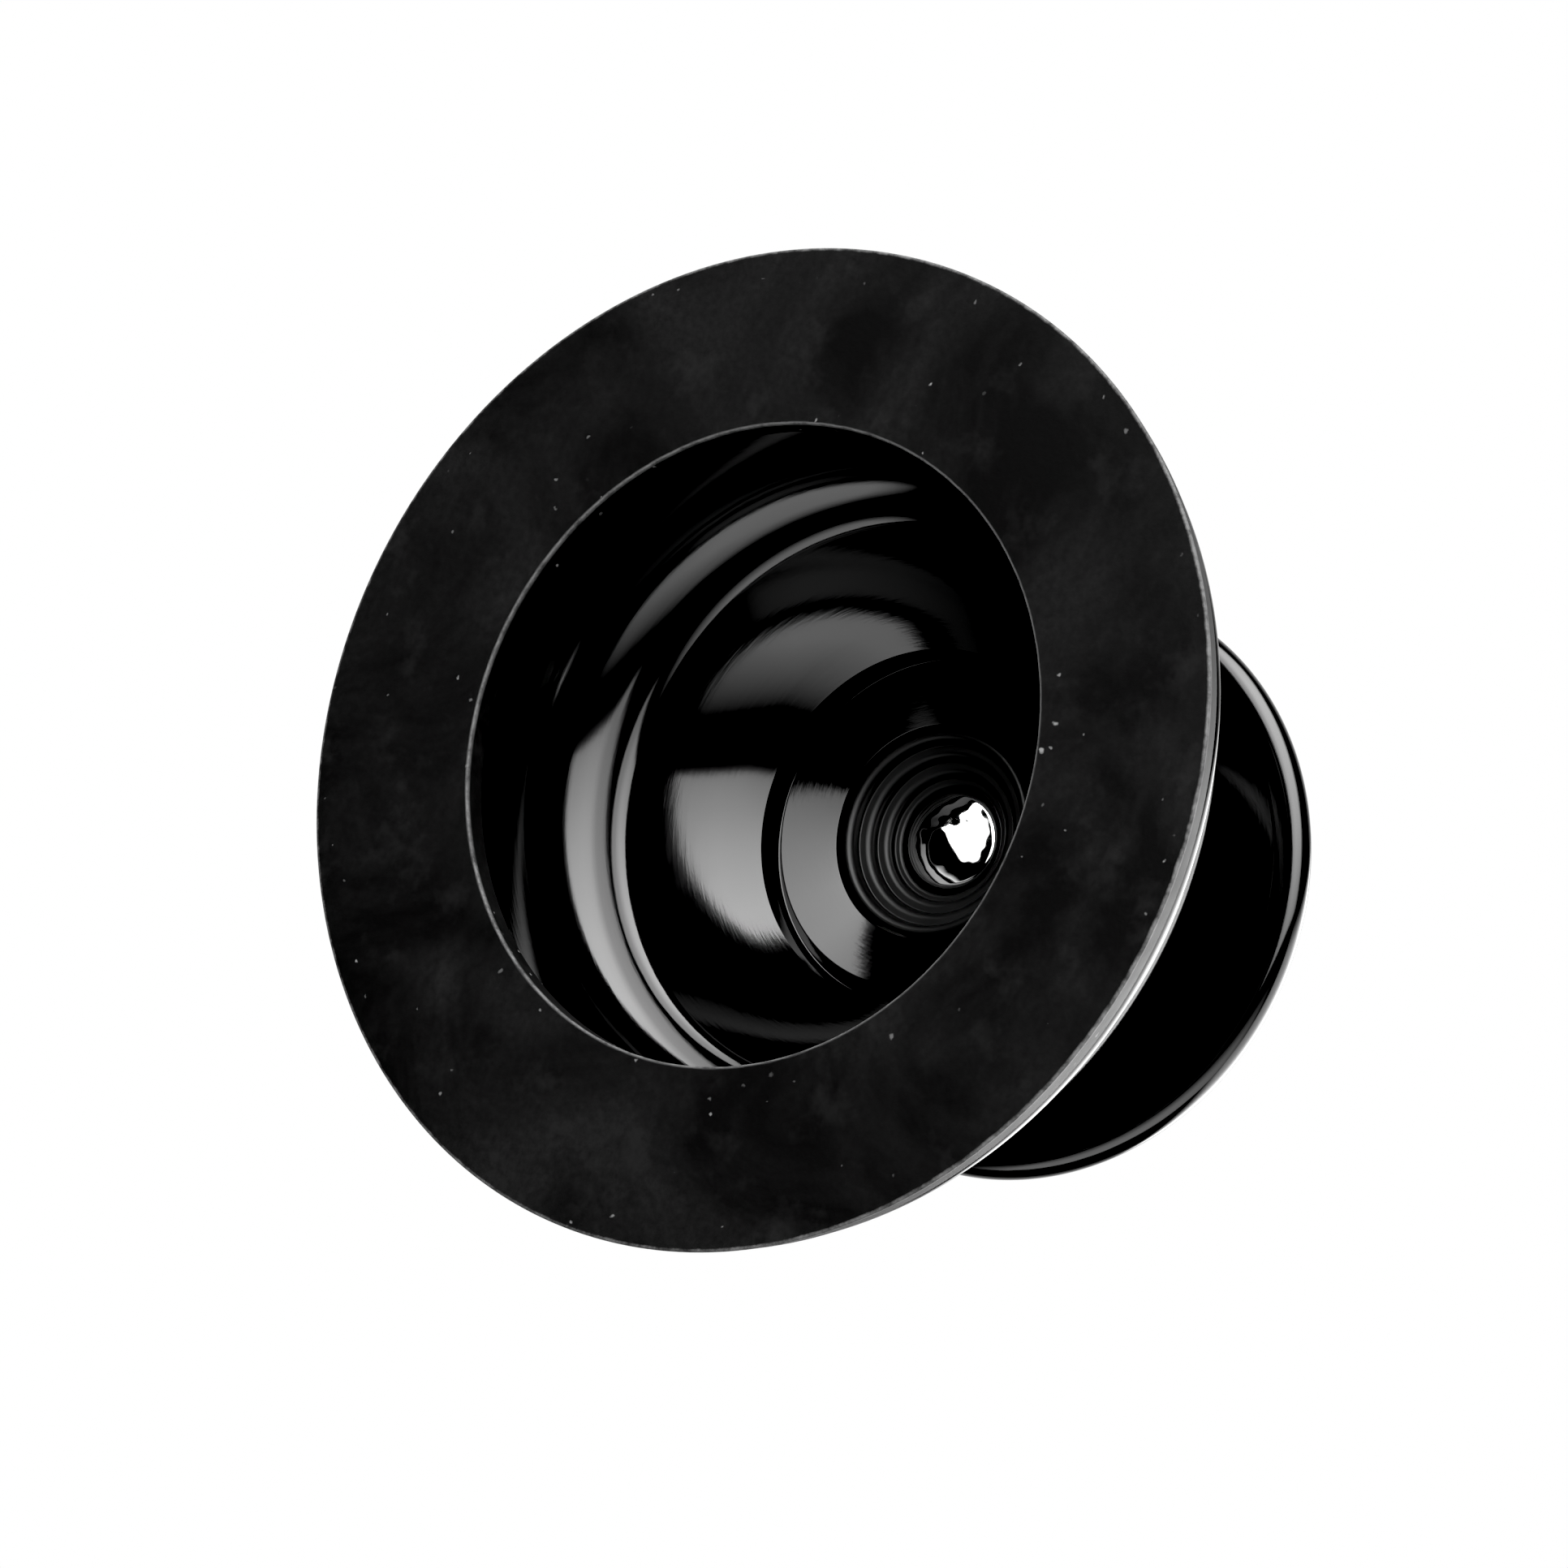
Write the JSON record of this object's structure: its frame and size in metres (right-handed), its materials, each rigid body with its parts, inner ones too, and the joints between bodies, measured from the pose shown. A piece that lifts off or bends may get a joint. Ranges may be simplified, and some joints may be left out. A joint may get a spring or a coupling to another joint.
{
  "type": "sink disposer stopper",
  "caption": "Lift-out stopper for a kitchen sink disposer: flat rubber seal under a hollow black metal bell with a flange, and a broad mushroom knob that swivels on a chrome screw.",
  "frame": {"origin": "centre of the seal ring's lower face, on the stopper's axis", "axes": "+Z along the stopper's axis, from the seal up to the knob; X and Y are any two directions across it, since the stopper is round"},
  "size_m": [0.0858, 0.0858, 0.0575],
  "materials": {
    "seal_rubber": "matt black moulded rubber, slightly mottled",
    "gloss_black_coat": "gloss black coat on turned metal",
    "satin_black_plastic": "satin moulded",
    "chrome": "polished chrome plate",
    "zinc_steel": "bright zinc plate"
  },
  "bodies": {
    "stopper": {"seal_ring": "seal_rubber", "stopper_body": "gloss_black_coat", "neck_ferrule": "gloss_black_coat", "neck_bush": "satin_black_plastic", "flat_washer": "zinc_steel", "spring_washer": "zinc_steel", "shaft_seal": "seal_rubber", "swivel_washer": "satin_black_plastic"},
    "knob": {"pivot_screw": "chrome", "knob_stem": "gloss_black_coat", "knob_dish": "gloss_black_coat", "backing_washer": "zinc_steel", "knob_nut": "zinc_steel", "knob_cap": "gloss_black_coat"}
  },
  "joints": [
    {"name": "knob_swivel", "type": "hinge", "parent": "stopper", "child": "knob", "pos_m": [0, 0, 0.043], "axis": [0, 0, 1], "continuous": true}
  ]
}
